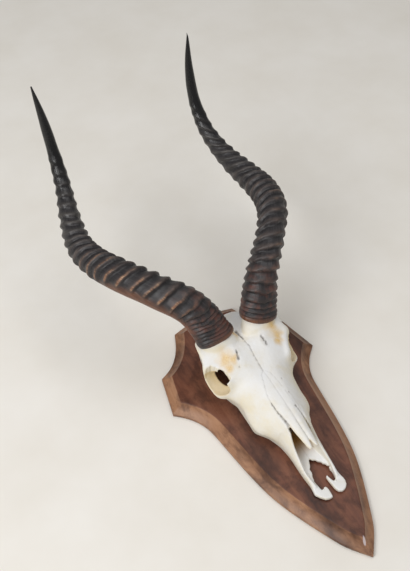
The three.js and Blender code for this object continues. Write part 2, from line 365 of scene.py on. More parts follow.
# %% Outline of the shield
TIP = mm(0, -187.5)
POINT = mm(14.5, -170)
SIDE = [mm(26, -151), mm(53, -89), mm(65, -40), mm(75, 36)]
SWEEP = mm(80, 62)
LOWER_EAR = mm(105, 81)
UPPER_EAR = mm(92.5, 134)
SCOOP = mm(60, 143)
TOP_CORNER = mm(44.5, 187.5)
CROWN = mm(0, 201.5)
SIDE_STEPS = 4
BEND_STEPS = 5
CROWN_STEPS = 6


def flipped(point):
    """The same place on the other side of the middle."""
    return Vector((-point.x, point.y, point.z))


right_edge = spline([POINT, *SIDE], SIDE_STEPS)
right_edge += bend(SIDE[-1], SWEEP, LOWER_EAR, BEND_STEPS)
right_edge += [LOWER_EAR.lerp(UPPER_EAR, 0.5), UPPER_EAR]
right_edge += bend(UPPER_EAR, SCOOP, TOP_CORNER, BEND_STEPS)
crown_edge = bend(TOP_CORNER, CROWN, flipped(TOP_CORNER), CROWN_STEPS)[:-1]
shield_outline = [TIP, *right_edge, *crown_edge, *[flipped(point) for point in reversed(right_edge)]]
shield_corners = [TIP]
for corner in (LOWER_EAR, UPPER_EAR, TOP_CORNER):
    shield_corners += [corner, flipped(corner)]
print("shield outline of", len(shield_outline), "points")

# %% Coved bevel
# Inset from the outline and height of each ring of the edge, in millimetres
EDGE_RINGS = [
    (0, 0), (0, 4.5), (0.5, 5.0), (3.2, 6.6), (6.8, 9.4), (9.8, 12.5), (11.5, 15.0), (12.2, 15.75),
    (13.0, 16.0),
]
# Number of the ring and how sharp it stays
EDGE_CREASES = {0: 0.9, 1: 0.7, 7: 0.75, 8: 0.5}
HUB = mm(0, 95)
SHIELD_DETAIL = 3
TOUCHING = 1e-6


def mitred(loop, inset):
    """The loop moved inwards by a distance, with its corners kept on their mitres."""
    moved = []
    for before, here, after in zip(loop[-1:] + loop, loop, loop[1:] + loop[:1]):
        arriving = (here - before).normalized()
        leaving = (after - here).normalized()
        inward = Vector((-arriving.y - leaving.y, arriving.x + leaving.x, 0)).normalized()
        square = arriving.x * inward.y - arriving.y * inward.x
        moved.append(here + inward * (inset / square))
    return moved


shield_build = bmesh.new()
crease = shield_build.edges.layers.float.new("crease_edge")
edge_points = []
for inset, height in EDGE_RINGS:
    edge_points.append([point + mm(0, 0, height) for point in mitred(shield_outline, inset * MM)])
shield_rings, shield_ends = loft(shield_build, edge_points)
for level, ring in enumerate(shield_rings):
    for pair in zip(ring, ring[1:] + ring[:1]):
        shield_build.edges.get(pair)[crease] = EDGE_CREASES.get(level, 0.0)
for index, point in enumerate(shield_outline):
    if min((point - corner).length for corner in shield_corners) < TOUCHING:
        for lower, upper in zip(shield_rings, shield_rings[1:]):
            shield_build.edges.get((lower[index], upper[index]))[crease] = 1.0
for flat in shield_ends:
    height = flat.calc_center_median().z
    middle = bmesh.ops.poke(shield_build, faces=[flat])["verts"][0]
    middle.co = HUB + Vector((0, 0, height))
bmesh.ops.recalc_face_normals(shield_build, faces=shield_build.faces)
shield_draft = hold("shield_board", shield_build)
print("shield edge of", len(shield_rings), "rings")

# %% [markdown]
# The back is worked too: two round sinks for the heads of the screws that hold the skull, a shallow bed
# for the hanger plate, a keyhole pocket behind it and the plate's own screw holes. Each is a peg, or one
# pulled apart into a slot, that a boolean takes out.

# %% Holes in the back
SCREW_HOLE_PLACES = (mm(0, -20), mm(0, 121))
SCREW_HEAD = 4.85
SCREW_SINK = 3.0
PLATE_PLACE = mm(0, 150)
PLATE_HALF = (22.35, 8.35)
PLATE_DEPTH = 2.35
KEYHOLE_HEAD = 5.5
KEYHOLE_DROP = 9.0
KEYHOLE_DEPTH = 10.0
PLATE_SCREW_OFFSET = 16.0
PLATE_SCREW_HOLE = 1.75
PLATE_SCREW_DEPTH = 12.0
HOLE_SIDES = 40


def peg(name, place, radius, depth, stretch=(0.0, 0.0)):
    """A cutter through the back face: an upright peg, with its halves pulled apart for slots."""
    build = bmesh.new()
    made = bmesh.ops.create_cone(
        build, cap_ends=True, segments=HOLE_SIDES, radius1=radius * MM, radius2=radius * MM,
        depth=2 * depth * MM, matrix=Matrix.Translation(place),
    )
    for vert in made["verts"]:
        vert.co.x += math.copysign(stretch[0] * MM, vert.co.x - place.x)
        vert.co.y += math.copysign(stretch[1] * MM, vert.co.y - place.y)
    return hold(name, build)


plate_stretch = (PLATE_HALF[0] - PLATE_HALF[1], 0.0)
back_cutters = [peg("screw_hole", spot, SCREW_HEAD, SCREW_SINK) for spot in SCREW_HOLE_PLACES]
back_cutters.append(peg("plate_bed", PLATE_PLACE, PLATE_HALF[1], PLATE_DEPTH, plate_stretch))
back_cutters.append(peg("keyhole", PLATE_PLACE, KEYHOLE_HEAD, KEYHOLE_DEPTH, (0.0, KEYHOLE_DROP / 2)))
for offset in (-PLATE_SCREW_OFFSET, PLATE_SCREW_OFFSET):
    spot = PLATE_PLACE + mm(offset, 0)
    back_cutters.append(peg("plate_screw_hole", spot, PLATE_SCREW_HOLE, PLATE_SCREW_DEPTH))
shield_smooth = ("SUBSURF", {"levels": SHIELD_DETAIL, "render_levels": SHIELD_DETAIL})
shield_mesh = shaped(shield_draft, [shield_smooth], back_cutters)
print("shield mesh of", len(shield_mesh.polygons), "faces")

# %% [markdown]
# The plank is a close-grained hardwood with a red-brown stain and a satin varnish. The stain has gone blotchy
# and nearly black in places, and the bevel, which was sanded more, is paler. The bevel's share is stored per
# vertex; grain, pores and blotches are noises stretched along the plank. The mitre at the tip has a pale
# whitish streak.

# %% Stained wood
# Heights where the bevel's paler wood starts and is full, then the height of the back and its share of it
BEVEL_NONE, BEVEL_FULL = 15.85, 15.1
BACK_BELOW = 0.5
BACK_SHARE = 0.3
# Place, size and turn of the pale whitish streak on the mitre at the tip
PALE_STREAK_PLACE = mm(-1.2, -170.0, 10.0)
PALE_STREAK_SIZE = mm(1.5, 5.4, 9.0)
PALE_STREAK_TURN = (0.0, 0.0, math.radians(-14.6))
bevel_share = []
for vert in shield_mesh.vertices:
    height = vert.co.z / MM
    bevel_share.append(ease(BEVEL_NONE, BEVEL_FULL, height) if height > BACK_BELOW else BACK_SHARE)
paint(shield_mesh, bevel=bevel_share)

wood_varnish = {"Specular IOR Level": 0.36, "Coat Weight": 0.08, "Coat Roughness": 0.3}
wood = Finish("stained_wood", wood_varnish)
wood_grain = wood.noise(wood.place((120.0, 7.0, 120.0)), detail=6.0, rough=0.6, swirl=0.6)
wood_pores = wood.noise(wood.place((1100.0, 60.0, 1100.0)), detail=2.0)
wood_blotch = wood.noise(wood.place((17.0, 9.0, 17.0)), detail=4.0, rough=0.6)
wood_mottle = wood.noise(wood.place((52.0, 34.0, 52.0)), detail=5.0, rough=0.65, swirl=0.4)
wood_stain = wood.ramp(wood_grain, (0.25, (88, 50, 36)), (0.5, (114, 69, 50)), (0.75, (130, 84, 61)))
wood_bare = wood.ramp(wood_grain, (0.25, (136, 96, 69)), (0.5, (160, 116, 85)), (0.75, (174, 131, 100)))
wood_color = wood.mix(wood.attribute("bevel"), wood_stain, wood_bare)
wood_dark = wood.ramp(wood_blotch, (0.34, (108, 84, 80)), (0.5, (255, 255, 255)))
wood_color = wood.mix(0.8, wood_color, wood_dark, "MULTIPLY")
wood_cloudy = wood.ramp(wood_mottle, (0.36, (138, 116, 110)), (0.56, (255, 255, 255)))
wood_color = wood.mix(0.7, wood_color, wood_cloudy, "MULTIPLY")
wood_color = wood.mix(wood.level(wood_pores, 0.36, 0.28, 0.0, 0.35), wood_color, shade(52, 30, 24))
wood_ragged = wood.level(wood_mottle, 0.2, 0.8, -0.3, 0.3)
# A pale whitish streak with a ragged edge on the mitre at the tip
wood_pale_streak = wood.plus(wood.patch(PALE_STREAK_PLACE, PALE_STREAK_SIZE, PALE_STREAK_TURN), wood_ragged)
wood_color = wood.mix(wood.level(wood_pale_streak, 0.75, 1.0, 0.85, 0.0), wood_color, shade(196, 184, 186))
wood_bump = wood.bump(wood_pores, 0.12, 0.0006, wood.bump(wood_grain, 0.1, 0.001))
wood.wear(wood_color, wood.level(wood_grain, 0.2, 0.8, 0.36, 0.52), wood_bump)
finished("shield_board", shield_mesh, "shield", wood.material)

# %% [markdown]
# ## The skull
# The skull is an upper skull, sawn flat so that it lies on the board. Its brain case, brow, cheeks and
# nose are one lofted body: half sections were measured every centimetre or so, mirrored, and joined by
# splines both ways. A sculpted ball would also do, but sections keep the measured widths and heights.

# %% Sections of the skull
SAW_CUT = 16.35
UNDER_CUT = 8.0
# Place along the skull, height of its roof, (half width, height) down its flank, half width at its foot
SKULL_SECTIONS = [
    (144.5, 56, [(9, 55.5), (17, 53), (24, 47), (27.5, 39), (29, 31), (29.5, 23), (29.5, 15)], 29.5),
    (138.5, 73.5, [(11, 72.5), (22, 66), (29.5, 58), (33.5, 50), (35, 41), (35, 31), (34.5, 19)], 34.5),
    (129, 77.5, [(12, 78), (24, 76), (34, 71), (40.5, 63), (42, 53), (39.5, 41), (37, 25)], 36.5),
    (117, 78.5, [(12, 80), (23, 83), (35, 83.5), (46, 80), (53, 74), (44.5, 59), (39.5, 37)], 38),
    (104, 79, [(12, 81.5), (22, 87.5), (34, 90.5), (48, 85.5), (57, 77.5), (45.5, 64), (39.5, 40)], 38),
    (93, 79.5, [(12, 82.5), (21, 87.5), (32, 89.5), (46, 83), (57.5, 74), (47, 63), (40, 42)], 38),
    (82, 82, [(12, 83.5), (20, 85), (31, 83), (46, 77.5), (60.5, 71.5), (59, 52), (48, 41)], 39),
    (73, 81, [(12, 82), (20, 83), (30, 80.5), (42, 75.5), (54, 71), (60, 46.5), (47.5, 39)], 38),
    (62, 77, [(12, 78), (20, 78), (29, 76), (39, 72.5), (48.5, 69.5), (59.5, 44.5), (46, 37)], 35.5),
    (52, 73.5, [(11, 74), (18, 73.5), (27, 71), (36, 68), (45, 66), (57, 44.5), (43, 36)], 33),
    (44, 71.5, [(11, 71.5), (17, 70.5), (25, 67.5), (33, 62), (40.5, 54), (45.5, 43), (37.5, 33)], 31),
    (32, 71.5, [(10, 71), (16, 69.3), (23.5, 65), (30.5, 59), (36.2, 50), (38.2, 39), (35, 27)], 31.5),
    (16, 69.8, [(9.5, 69), (15, 66.8), (21.5, 62.3), (28.5, 55), (34, 45.5), (38.2, 33.5), (35.2, 22)], 32),
    (
        3, 68.5, [(9, 67.5), (14, 64.8), (19.5, 60.5), (26.5, 52.5), (33.5, 42.5), (38.4, 31.5), (35.6, 21)],
        31.5,
    ),
    (-7, 67, [(8.5, 66), (13, 63.2), (18, 58.8), (25, 51.5), (31.5, 42), (36, 30.5), (30, 20)], 25),
    (
        -16, 65.8, [(8.5, 64.6), (12.8, 61.8), (17, 57.5), (22.5, 50.5), (27, 41.5), (29.3, 31), (24, 20)],
        19.5,
    ),
    (-27, 64, [(8, 62.6), (12, 59.6), (15.5, 55.5), (20, 49.5), (23, 40.5), (23, 30), (18.5, 20)], 16),
]
SECTION_STEPS = 5
GIRTH_STEPS = 4


def girth(y, roof, flank, foot):
    """A whole ring from half a section: down the right side, across the cut, and up the left side."""
    right = [mm(x, y, z) for x, z in [(0, roof), *flank, (foot, UNDER_CUT)]]
    return [*right, mm(0, y, UNDER_CUT), *[flipped(point) for point in reversed(right[1:])]]


girths = [girth(*section) for section in SKULL_SECTIONS]
columns = [spline(column, SECTION_STEPS) for column in zip(*girths)]
skull_rings = [spline(list(row), GIRTH_STEPS, closed=True) for row in zip(*columns)]
skull_build = bmesh.new()
loft(skull_build, skull_rings)
skull_draft = hold("skull_body", skull_build)
print("skull body of", len(skull_rings), "rings")

# %% [markdown]
# The eye sockets, the gap behind each of them that goes down to the board, and the inside of the nose
# are taken out with stretched balls. The left brow is broken away in a ragged line, which is a jagged
# prism. Cutting is easier to steer here than pushing vertices, because each hole keeps a crisp rim.

# %% Hollows of the skull
SOCKET = {"centre": (53.6, 63.3, 57.3), "out": 22.0, "along": 16.9, "down": 12.4}
SOCKET_FACING = Vector((0.93, 0.0, 0.365)).normalized()
GAP_BEHIND = {"centre": (34.6, 82.5, 38.0), "run": 38.0, "along": 18.0, "across": 7.6}
GAP_RUN = Vector((-0.3, 0.5, -1.0)).normalized()
NOSE_HOLLOW = {"centre": (0, -40, 38), "radii": (12.5, 42, 19.0)}
BROKEN_BROW = [
    (-59.5, 79.2), (-57, 80.6), (-54.4, 79), (-52.2, 80.4), (-50.4, 76.6), (-48.2, 75.6), (-47.6, 72.2),
    (-44.8, 70.8), (-43.2, 68.4), (-41.0, 67.2), (-41.4, 63.4), (-38.6, 62.0), (-39.6, 59.4), (-38.0, 55.6),
    (-42, 53.4), (-52, 52), (-62, 62), (-64, 74),
]
BROW_BOTTOM = 54.0
BROW_TOP = 95.0
BALL_SIDES = 48
BALL_RINGS = 32


def ball(name, centre, axes):
    """A ball stretched along three directions, as a cutter."""
    build = bmesh.new()
    stretch = Matrix(axes).transposed().to_4x4()
    frame_of_ball = Matrix.Translation(mm(*centre)) @ stretch
    bmesh.ops.create_uvsphere(
        build, u_segments=BALL_SIDES, v_segments=BALL_RINGS, radius=MM, matrix=frame_of_ball
    )
    bmesh.ops.recalc_face_normals(build, faces=build.faces)
    return hold(name, build)


def sided(vector, side):
    """A direction or place on the right side, carried to the given side."""
    return Vector((side * vector[0], vector[1], vector[2]))


def plate(build, outline, bottom, top, rounding=0.0):
    """A flat shape cut to an outline; rounding softens its upper edge."""
    face = build.faces.new([build.verts.new(mm(x, y, bottom)) for x, y in outline])
    lifted = bmesh.ops.extrude_face_region(build, geom=[face], use_keep_orig=True)["geom"]
    upper = [item for item in lifted if isinstance(item, bmesh.types.BMVert)]
    bmesh.ops.translate(build, verts=upper, vec=mm(0, 0, top - bottom))
    if rounding:
        rim = [edge for edge in build.edges if all(vert in upper for vert in edge.verts)]
        bmesh.ops.bevel(
            build, geom=rim, offset=rounding * MM, segments=3, profile=0.5, affect="EDGES", material=-1,
            clamp_overlap=True,
        )
    bmesh.ops.recalc_face_normals(build, faces=build.faces)


nose_axes = [Vector(axis) for axis in Matrix.Diagonal(NOSE_HOLLOW["radii"])]
skull_cutters = [ball("nose_hollow", NOSE_HOLLOW["centre"], nose_axes)]
for side in (-1, 1):
    facing = sided(SOCKET_FACING, side)
    along = Vector((0, 1, 0))
    axes = [facing * SOCKET["out"], along * SOCKET["along"], facing.cross(along) * SOCKET["down"]]
    skull_cutters.append(ball("eye_socket", sided(SOCKET["centre"], side), axes))
    run = sided(GAP_RUN, side)
    across = run.cross(along).normalized()
    axes = [run * GAP_BEHIND["run"], across.cross(run) * GAP_BEHIND["along"], across * GAP_BEHIND["across"]]
    skull_cutters.append(ball("gap_behind_eye", sided(GAP_BEHIND["centre"], side), axes))
brow_build = bmesh.new()
plate(brow_build, BROKEN_BROW, BROW_BOTTOM, BROW_TOP)
skull_cutters.append(hold("broken_brow", brow_build))
skull_body = shaped(skull_draft, cutters=skull_cutters)
print("skull body with hollows,", len(skull_body.polygons), "faces")

# %% [markdown]
# In front of the face the skull is four slender things: two nasal bones that end in points, and the two
# long bones of the upper jaw that run forward to the hooked tips. Each is a loft of a few sections.

# %% Nasal bones and jaw bars
# Place along, inner and outer half width, height at the inner and outer edge, thickness
NASAL_SECTIONS = [
    (-6, 0.4, 11.5, 67.0, 64.0, 4.5), (-24, 0.4, 10.4, 64.4, 61.2, 4.2), (-38, 0.45, 9.2, 62.0, 58.8, 3.6),
    (-50, 0.6, 7.8, 59.9, 57.2, 3.2), (-58, 1.3, 6.9, 58.4, 56.2, 2.8), (-63, 2.5, 5.8, 57.4, 55.8, 2.4),
    (-65, 3.4, 4.8, 56.8, 55.8, 1.8),
]
# Place along, then inner foot, outer foot, outer cheek, ridge and inner lip, each (half width, height)
JAW_SECTIONS = [
    (-12, (13, 8), (22, 8), (29.0, 34), (21.5, 53), (12.5, 58)),
    (-26, (12, 8), (17.5, 8), (23.4, 33), (18.2, 52.5), (11.2, 57.4)),
    (-33, (10.5, 12), (16, 8), (21.8, 31.5), (17.2, 49.5), (11.0, 53)),
    (-40, (9.8, 14), (15, 8), (20.8, 30), (17.2, 45.2), (12.6, 47.2)),
    (-48, (10.0, 16), (14.6, 8), (20.0, 28.5), (17.0, 40.6), (14.0, 41)),
    (-57, (12.2, 19), (15.2, 8), (19.8, 27), (17.2, 36), (14.4, 35.4)),
    (-74, (15.4, 19.5), (16.8, 8), (19.3, 24), (17.7, 29.2), (15.8, 28.2)),
    (-82, (15.6, 19), (16.6, 8), (19.0, 23), (17.3, 27.4), (15.3, 26.4)),
    (-88, (14.8, 18.5), (16.2, 8), (18.5, 22), (16.6, 26), (14.1, 25)),
    (-95, (13.0, 17.5), (16, 8), (18.6, 20), (16, 24), (13.2, 23.5)),
]
# Corners of a nasal bone's section, four on its arched roof and three on its flatter floor: share of the
# width, lean from the inner to the outer height, and lift
NASAL_ROOF = [(0, 0, -0.4), (0.3, 0, 0.5), (0.72, 0.55, 0.7), (1, 1, 0)]
NASAL_FLOOR = [(0.9, 1, 0), (0.5, 0, 0), (0, 0, -0.3)]
BONE_STEPS = 4
NASAL_GIRTH_STEPS = 3
JAW_GIRTH_STEPS = 4


def nasal_ring(y, inner, outer, inner_top, outer_top, thick):
    """The section of a nasal bone."""
    ring = []
    for corners, drop in ((NASAL_ROOF, 0.0), (NASAL_FLOOR, thick)):
        for share, lean, lift in corners:
            height = inner_top + lean * (outer_top - inner_top) + lift - drop
            ring.append(mm(inner + share * (outer - inner), y, height))
    return ring


def jaw_ring(y, *corners):
    """The section of a jaw bar."""
    return [mm(x, y, z) for x, z in corners]


def bone_bar(build, rings, side, girth_steps):
    """A slender bone on one side, smoothed along and round."""
    runs = [spline(column, BONE_STEPS) for column in zip(*rings)]
    rounds = [spline(list(row), girth_steps, closed=True) for row in zip(*runs)]
    loft(build, [[sided(point, side) for point in ring] for ring in rounds])


bones_build = bmesh.new()
nasal_rings = [nasal_ring(*section) for section in NASAL_SECTIONS]
jaw_rings = [jaw_ring(*section) for section in JAW_SECTIONS]
for side in (-1, 1):
    bone_bar(bones_build, nasal_rings, side, NASAL_GIRTH_STEPS)
    bone_bar(bones_build, jaw_rings, side, JAW_GIRTH_STEPS)
print("slender bones,", len(bones_build.faces), "faces")

# %% [markdown]
# The jaw ends in two flat hooked plates. The right hook is whole and curls back towards the nose; the
# left one is broken short. They differ, so each has its own outline, extruded and rounded with a bevel.
# A thin ragged sheet of palate lies between the bars, and a cheek bar runs back below each horn.

# %% Hooked tips, palate and cheek bars
RIGHT_TIP = [
    (13.4, -82), (14.2, -89), (12.8, -95), (10.2, -100.2), (8.6, -98.6), (7.0, -94.5), (5.4, -88.6),
    (3.8, -88.2), (3.5, -92), (3.7, -98), (4.2, -106), (6.2, -111), (10.5, -113.2), (15, -111.8),
    (18.8, -108.2), (20.6, -103.4), (19.9, -97), (18.9, -89), (19.0, -82),
]
LEFT_TIP = [
    (-12.2, -82), (-11.4, -90), (-10.4, -98.6), (-9.6, -101.6), (-8.2, -101.9), (-6.4, -99.6),
    (-4.4, -98.2), (-2.9, -100.2), (-2.5, -104), (-3.0, -109), (-3.5, -113.4), (-7.5, -113.6),
    (-12, -112), (-16.7, -107), (-20.1, -101), (-19.0, -95), (-17.9, -89), (-18.4, -82),
]
TIP_BOTTOM = 17.2
TIP_TOP = 22.4
TIP_ROUND = 2.0
PALATE = [
    (-13, -18), (-14, -60), (-15, -87), (-11.2, -86.4), (-10.2, -81), (-8.4, -78.6), (-7.4, -75.8),
    (-7.8, -72.2), (-5, -69.6), (-3.6, -66.4), (-1.2, -60.6), (1.0, -61.4), (2.4, -64.2), (5.2, -65),
    (6.6, -68.2), (9.6, -70.4), (10.4, -73.6), (12.6, -75.4), (13.2, -79), (15.4, -78.2), (16.8, -80.4),
    (17, -60), (18, -18),
]
PALATE_LIFT = (18.5, 23.0)
CHEEK_BAR = [mm(57, 78, 48), mm(51, 90, 46.5), mm(45, 106, 44), mm(39.5, 120, 42), mm(35, 131, 40)]
CHEEK_BAR_RADII = [4.2, 3.2, 3.4, 4.2, 5.0]
BAR_STEPS = 4
BAR_SIDES = 12
BAR_FLATNESS = 0.7


def rod(build, line, radii, side):
    """A round bone along a line, with its own thickness at each place."""
    path = spline(line, BAR_STEPS)
    rings = []
    for index, point in enumerate(path):
        ahead = path[min(index + 1, len(path) - 1)] - path[max(index - 1, 0)]
        across = ahead.cross(Vector((0, 0, 1))).normalized()
        over = across.cross(ahead).normalized()
        radius = between(list(enumerate(radii)), index / BAR_STEPS) * MM
        ring = []
        for angle in turns(BAR_SIDES):
            spoke = across * BAR_FLATNESS * math.cos(angle) + over * math.sin(angle)
            ring.append(sided(point + spoke * radius, side))
        rings.append(ring)
    loft(build, rings)


plate(bones_build, RIGHT_TIP, TIP_BOTTOM, TIP_TOP, TIP_ROUND)
plate(bones_build, LEFT_TIP, TIP_BOTTOM, TIP_TOP, TIP_ROUND)
plate(bones_build, PALATE, *PALATE_LIFT)
for side in (-1, 1):
    rod(bones_build, CHEEK_BAR, CHEEK_BAR_RADII, side)
print("slender bones with tips,", len(bones_build.faces), "faces")

# %% [markdown]
# Under each horn the brow rises into a stout seat. It follows the horn's own axis, so the horn's line is
# written down here, once, for the seats and for the horns. It is measured on the right horn and mirrored.

# %% Horn line and seats
HORN_LINE = [
    mm(29, 101, 83), mm(50.5, 130, 130), mm(79, 160, 149), mm(105, 196, 154), mm(120.5, 237, 145),
    mm(124, 280, 136), mm(117, 323, 141), mm(107, 361.5, 162), mm(103, 389.5, 197), mm(104, 405.5, 239.5),
    mm(108, 415.5, 283),
]
HORN_LINE_STEPS = 40
# Steps ahead and back over which the line's direction is taken, and the last bit that counts as its end
LOOK_AHEAD, LOOK_BACK = 4, 3
LAST_BIT = 1e-3
# The horn's rim lies across the brow at a slant, and its front is flatter than its back. For each side:
# rise of the rim's outer side, drop of its front and lift of it all, as shares of the radius
RIM_PLACE = 8.0
RIM_SLANT = {-1: (0.18, 0.0, 0.0), 1: (0.05, 0.2, 0.1)}
RIM_FRONT = 0.66
FRONT_POWER = 1.5
RIM_FADE = 80.0
SEAT_RADII = [(-16, 22.5), (-8, 21.6), (-2, 21.2), (4, 20.8), (8, 19.5)]
SEAT_SIDES = 40

horn_path = spline(HORN_LINE, HORN_LINE_STEPS)
horn_lengths = [0.0]
for start, end in zip(horn_path, horn_path[1:]):
    horn_lengths.append(horn_lengths[-1] + (end - start).length / MM)
HORN_LENGTH = horn_lengths[-1]


def on_horn(distance):
    """Place and direction on the right horn's line, a number of millimetres from its root."""
    inside = min(max(distance, 0.0), HORN_LENGTH - LAST_BIT)
    index = next(i for i, length in enumerate(horn_lengths) if length > inside) - 1
    start, end = horn_path[index], horn_path[index + 1]
    share = (inside - horn_lengths[index]) / (horn_lengths[index + 1] - horn_lengths[index])
    ahead = (end - start).normalized()
    here = start.lerp(end, share) + ahead * (distance - inside) * MM
    smooth_end = horn_path[min(index + LOOK_AHEAD, len(horn_path) - 1)]
    smooth_start = horn_path[max(index - LOOK_BACK, 0)]
    return here, (smooth_end - smooth_start).normalized()


def horn_axes(ahead):
    """Outward and downward-back directions across the right horn."""
    outward = Vector((1, 0, 0))
    outward = (outward - ahead * outward.dot(ahead)).normalized()
    return outward, ahead.cross(outward)


def round_horn(side, distance, angle, radius):
    """A place on or under a horn: its distance along, angle round and radius, slanted as the rim is."""
    here, ahead = on_horn(distance)
    outward, under = horn_axes(ahead)
    spoke = outward * math.cos(angle) + under * math.sin(angle)
    near_rim = 1.0 - ease(RIM_PLACE, RIM_FADE, distance)
    front = max(0.0, -math.sin(angle)) ** FRONT_POWER
    rise, drop, lift = RIM_SLANT[side]
    slant = rise * math.cos(angle) + drop * math.sin(angle) + lift
    reach = 1.0 - (1.0 - RIM_FRONT) * front * near_rim
    return sided(here + (spoke * reach + ahead * slant * near_rim) * radius * MM, side)


for side in (-1, 1):
    seat_rings = []
    for distance, radius in SEAT_RADII:
        seat_rings.append([round_horn(side, distance, angle, radius) for angle in turns(SEAT_SIDES)])
    loft(bones_build, seat_rings)
print("horn line of", round(HORN_LENGTH, 1), "mm")

# %% [markdown]
# All these bones are one bone on the real skull. A voxel remesh melts the overlapping shells into one
# skin with soft joints, as bone has, and the saw cut then takes off everything below the board's face.

# %% One skull from its bones
VOXEL = 1.05 * MM
SAW_BOX = 0.6

bones_build.from_mesh(skull_body)
bpy.data.meshes.remove(skull_body)
saw_build = bmesh.new()
saw_place = Matrix.Translation(mm(0, 0, SAW_CUT) - Vector((0, 0, SAW_BOX / 2)))
bmesh.ops.create_cube(saw_build, size=SAW_BOX, matrix=saw_place)
saw = hold("saw_cut", saw_build)
skull_mesh = shaped(
    hold("skull_bone", bones_build),
    [("REMESH", {"mode": "VOXEL", "voxel_size": VOXEL}), ("SMOOTH", {"factor": 0.5, "iterations": 3})],
    [saw],
)
print("skull skin of", len(skull_mesh.polygons), "faces")

# %% [markdown]
# Fine marks come last, as small moves of the skin: the sutures where bones meet are shallow wandering
# grooves, the nerve holes in the brow are pits, the back has low ridges and hollows, and the whole surface is
# slightly uneven. The same measured lines give the finish its numbers: how near a point is to a suture, a
# pit, a stain or a hollow, and how far it faces away from the top. From them the pits and the eye sockets get
# painted shade, and the flanks painted warm light.

# %% Places of the sutures, pits and stains
# Each mark is a run of (x, y) places seen from above, its width at both ends, its depth and its darkness
MARKS = [
    ([(-1.8, 105.5), (-0.9, 99), (0.2, 91)], (1.5, 0.7), 1.6, 1.0),
    ([(0.2, 91), (-0.5, 84), (0.2, 76.5), (-1.0, 65), (-0.7, 44.5)], (0.5, 0.6), 0.5, 0.66),
    (
        [(-0.7, 44.5), (-0.2, 30), (-0.6, 14), (-0.6, -1), (-0.9, -24), (-0.9, -50), (-0.2, -62)],
        (0.5, 0.5), 0.35, 0.22,
    ),
    ([(-0.7, 44.5), (-5.5, 40), (-9, 29), (-13.4, 16.6), (-14.6, 4.8)], (0.5, 0.5), 0.3, 0.3),
    ([(-14.6, 4.8), (-14, -7.2), (-12.7, -17.3), (-12.0, -25), (-11.2, -33)], (0.45, 1.2), 1.3, 0.9),
    ([(0.7, 44.5), (5.5, 38), (8, 20), (9.2, 0), (9.3, -12.4)], (0.4, 0.4), 0.2, 0.2),
    ([(9.3, -12.4), (10.5, -23), (10.6, -34.8)], (0.45, 1.0), 1.1, 0.8),
    ([(10.8, -35.5), (11.3, -42), (11.5, -50)], (1.5, 0.8), 1.7, 0.75),
    # Nerve holes and small pits: their darkness is painted shade inside the holes
    ([(-17.4, 78.5), (-18.5, 74), (-20.4, 68)], (0.7, 1.3), 2.4, 0.95),
    ([(19.8, 80.5), (20.3, 77), (19.6, 74.5)], (1.4, 0.9), 2.4, 0.95),
    ([(21, 72.4), (20.6, 69.4)], (1.0, 1.4), 2.2, 0.9),
    ([(18.8, 76), (20.4, 70)], (3.4, 3.0), 0.15, 0.3),
    ([(9.3, -12), (9.4, -13)], (1.1, 1.1), 1.4, 1.0),
    ([(-24, 60.4), (-24, 59.6)], (0.7, 0.7), 0.6, 0.5),
    ([(14, 25.4), (14, 24.6)], (0.7, 0.7), 0.6, 0.5),
    ([(12, 6.4), (12, 5.6)], (0.7, 0.7), 0.6, 0.5),
]
TAN_STAINS = [
    ((-33, 76), 15), ((-35, 66), 10), ((-27, 71), 9), ((38, 88), 12), ((40, 78), 14), ((37, 69), 9),
    ((-8, 100), 9),
]
STAIN_WARP = 4.5
STAIN_PITCH = (0.13, 0.13)
STAIN_SEEDS = (31.0, 41.0)
# The back of the skull in (x, z) places seen from behind: ridges with widths and height, then round swells
# and hollows with radius and height
BACK_RIDGES = [
    ([(-31, 40), (-22, 50), (-9, 55.5), (0, 57.5), (9, 55.5), (22, 50), (31, 40)], (2.4, 2.4), 1.6),
    ([(0, 57), (0.6, 44), (0, 29)], (2.8, 1.6), 1.4),
]
BACK_SWELLS = [((-12, 43), 12, -2.2), ((12, 43), 12, -2.2), ((-11, 25), 9, 3.0), ((11, 25), 9, 3.0)]
BACK_FACING, BACK_FULL = 0.3, 0.6
TOP_FACING = 0.25
SUTURE_WANDER = 0.55
SUTURE_PITCH = (0.5, 0.45)
SUTURE_SEEDS = (3.0, 9.0)
# A suture is darker and fainter by turns, about a middle darkness
FAINT_MIDDLE, FAINT_SPREAD = 0.75, 0.5
FAINT_PITCH = (0.3, 0.3)
FAINT_SEED = 21.0
# Height of the skin's unevenness, then pitch and share of its broad and its fine part
UNEVEN = 0.22
UNEVEN_PARTS = [(0.09, 1.0), (0.28, 0.5)]
# The inside of the nose: half width and height where it ends, and its run from the front to the back
NOSE_HALF = (10.5, 13.5)
NOSE_TOP = (48.0, 53.0)
NOSE_RUN = (-62.0, -32.0)
NOSE_BACK = -8.0
# A mark's core and blurred edge as shares of its width, and the wall of a socket as shares of its radius
MARK_EDGE = (0.4, 1.7)
SOCKET_WALL = (1.02, 1.12)
# Upward facing where the painted warm light on the flanks is full and where it ends
FLANK_LIGHT_FACING = (0.35, 0.95)
SAW_MARGIN = 0.3
print("marks on the skull", len(MARKS))


# %% How near a place is to a mark
def wobble(x, y, pitch, seed):
    """A number from about -1 to 1 that changes softly over the skull."""
    return noise.noise(Vector((x * pitch[0], y * pitch[1], seed)))


def warped(x, y, reach, pitch, seeds):
    """A place moved a little, so that lines wander and patches get uneven edges."""
    return [place + reach * wobble(x, y, pitch, seed) for place, seed in zip((x, y), seeds)]


